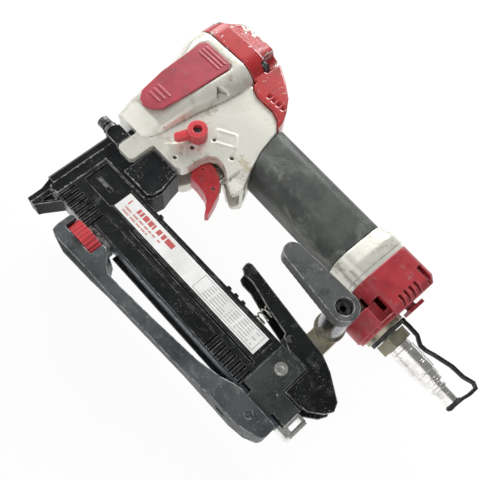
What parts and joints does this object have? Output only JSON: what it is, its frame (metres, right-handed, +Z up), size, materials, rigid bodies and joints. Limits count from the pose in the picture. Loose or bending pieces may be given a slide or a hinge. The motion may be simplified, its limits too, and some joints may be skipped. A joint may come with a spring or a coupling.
{
  "type": "flooring nailer",
  "caption": "Pneumatic flooring stapler with head, trigger, magazine with latch, tilting base with depth dial, swivel hook and air plug.",
  "frame": {"origin": "bottom centre of the nose tip, on the driver line", "axes": "+Z up along the driver line to the head, +X to the rear along the magazine, -Y the tool's left side"},
  "size_m": [0.3399, 0.0831, 0.2269],
  "materials": {
    "cast_silver": "satin champagne-silver paint on a die casting, scuffed and chipped",
    "cap_red": "glossy red paint, chipped to bare metal along its top edges",
    "end_red": "dark red moulded plastic, dusty",
    "pad_red": "crimson soft pad with moulded ribs",
    "trigger_red": "glossy red plastic, worn",
    "grip_rubber": "dark grey-green rubber, scuffed and dusty",
    "black_metal": "black coated aluminium alloy, worn at its edges",
    "black_plastic": "black glass-filled plastic, scuffed",
    "base_grey": "dark blue-grey moulded base, dusty and scratched",
    "fastener_black": "black-oxide steel",
    "bright_steel": "bright turned steel",
    "rail_steel": "blue-grey rolled steel",
    "chrome": "polished chrome",
    "zinc": "yellow-zinc plated steel, dulled olive-brown",
    "spring_steel": "spring steel wire",
    "seal_rubber": "black rubber",
    "label_white": "white printed label, blank",
    "filter_tan": "sintered filter disc"
  },
  "bodies": {
    "tool": {"housing": "cast_silver", "cylinder_sleeve": "bright_steel", "bumper": "seal_rubber", "head_gasket": "seal_rubber", "head_cap": "cap_red", "cap_bolts": "fastener_black", "left_pad": "pad_red", "right_pad": "pad_red", "head_valve_spring": "spring_steel", "grip_sleeve": "grip_rubber", "end_plate": "cast_silver", "end_cap": "end_red", "end_cap_screws": "fastener_black", "air_filter": "filter_tan", "plug_flange": "zinc", "strap_ring": "seal_rubber", "trigger_pin": "fastener_black", "trigger_spring": "spring_steel", "valve_bush": "zinc", "housing_pins": "fastener_black", "nose_plate": "black_metal", "nose_body": "black_metal", "nose_bolts": "fastener_black", "magazine_body": "black_metal", "left_cover": "black_plastic", "right_cover": "black_plastic", "label_plate": "label_white", "sole_plate": "black_metal", "pusher_spring": "spring_steel", "end_block": "black_metal", "end_block_bolt": "bright_steel", "lever_pin": "fastener_black", "lever_spring": "spring_steel", "rear_strut": "zinc", "hook_post": "chrome", "hook_washer": "zinc", "hook_screw": "fastener_black", "dial_stud": "bright_steel"},
    "piston_group": {"piston": "bright_steel", "piston_ring": "seal_rubber", "driver_blade": "bright_steel"},
    "head_valve": {"head_valve": "seal_rubber"},
    "trigger": {"trigger": "trigger_red", "arm_pin": "fastener_black"},
    "trigger_arm": {"trigger_arm": "zinc"},
    "valve_stem": {"valve_stem": "bright_steel"},
    "trigger_lock": {"lock_knob": "trigger_red", "lock_shaft": "fastener_black"},
    "duster_button": {"duster_button": "end_red"},
    "plug": {"air_plug": "bright_steel", "plug_nut": "zinc"},
    "plug_cap": {"plug_cap_strap": "seal_rubber"},
    "magazine_rail": {"magazine_rail": "rail_steel", "rail_handle": "bright_steel"},
    "pusher": {"pusher": "rail_steel"},
    "latch_lever": {"latch_lever": "black_plastic"},
    "hook": {"hook_arm": "black_plastic"},
    "base": {"base_arm": "base_grey", "base_pin": "fastener_black"},
    "depth_dial": {"depth_dial": "trigger_red"}
  },
  "joints": [
    {"name": "piston_stroke", "type": "slide", "parent": "tool", "child": "piston_group", "axis": [0, 0, -1], "range_m": [0, 0.052]},
    {"name": "head_valve_lift", "type": "slide", "parent": "tool", "child": "head_valve", "axis": [0, 0, 1], "range_m": [0, 0.003], "stiffness_N_per_m": 400, "springref_m": -0.002, "deforming": ["head_valve_spring"]},
    {"name": "trigger_pull", "type": "hinge", "parent": "tool", "child": "trigger", "pos_m": [0.046, 0, 0.113], "axis": [0, -1, 0], "range_deg": [0, 6], "stiffness_Nm_per_rad": 0.6, "springref_deg": -6.88, "deforming": ["trigger_spring"]},
    {"name": "trigger_arm_turn", "type": "hinge", "parent": "trigger", "child": "trigger_arm", "pos_m": [0.0774, 0, 0.1062], "axis": [0, 1, 0], "range_deg": [0, 2.5]},
    {"name": "valve_stem_lift", "type": "slide", "parent": "tool", "child": "valve_stem", "axis": [0, 0, 1], "range_m": [0, 0.003]},
    {"name": "trigger_lock_turn", "type": "hinge", "parent": "tool", "child": "trigger_lock", "pos_m": [0.0415, 0, 0.1225], "axis": [0, 1, 0], "range_deg": [0, 90]},
    {"name": "duster_push", "type": "slide", "parent": "tool", "child": "duster_button", "axis": [-0.999, 0, 0.0436], "range_m": [0, 0.002], "stiffness_N_per_m": 200, "springref_m": -0.003},
    {"name": "plug_swivel", "type": "hinge", "parent": "tool", "child": "plug", "pos_m": [0.25383, 0, 0.12302], "axis": [0.999, 0, -0.0436], "continuous": true},
    {"name": "plug_cap_swing", "type": "hinge", "parent": "tool", "child": "plug_cap", "pos_m": [0.23923, 0, 0.13928], "axis": [0, -1, 0], "range_deg": [0, 65]},
    {"name": "rail_pull", "type": "slide", "parent": "tool", "child": "magazine_rail", "axis": [1, 0, 0], "range_m": [0, 0.14]},
    {"name": "pusher_feed", "type": "slide", "parent": "magazine_rail", "child": "pusher", "axis": [1, 0, 0], "range_m": [0, 0.12], "stiffness_N_per_m": 20, "springref_m": -0.1},
    {"name": "latch_press", "type": "hinge", "parent": "tool", "child": "latch_lever", "pos_m": [0.1975, 0, 0.0675], "axis": [0, -1, 0], "range_deg": [0, 13], "stiffness_Nm_per_rad": 1, "springref_deg": -17.19, "deforming": ["lever_spring"]},
    {"name": "hook_swivel", "type": "hinge", "parent": "tool", "child": "hook", "pos_m": [0.2085, 0, 0.095], "axis": [0, 1, 0], "continuous": true},
    {"name": "base_tilt", "type": "hinge", "parent": "tool", "child": "base", "pos_m": [0.2135, 0, 0.013], "axis": [0, -1, 0], "range_deg": [0, 1.25]},
    {"name": "dial_turn", "type": "hinge", "parent": "base", "child": "depth_dial", "pos_m": [0.0485, 0, 0.01], "axis": [0, 0, 1], "range_deg": [0, 320]}
  ],
  "couplings": [
    {"joint": "trigger_arm_turn", "follows": "trigger_pull", "ratio": 0.4},
    {"joint": "valve_stem_lift", "follows": "trigger_pull", "m_per_rad": 0.028},
    {"joint": "dial_turn", "follows": "base_tilt", "ratio": 250}
  ]
}
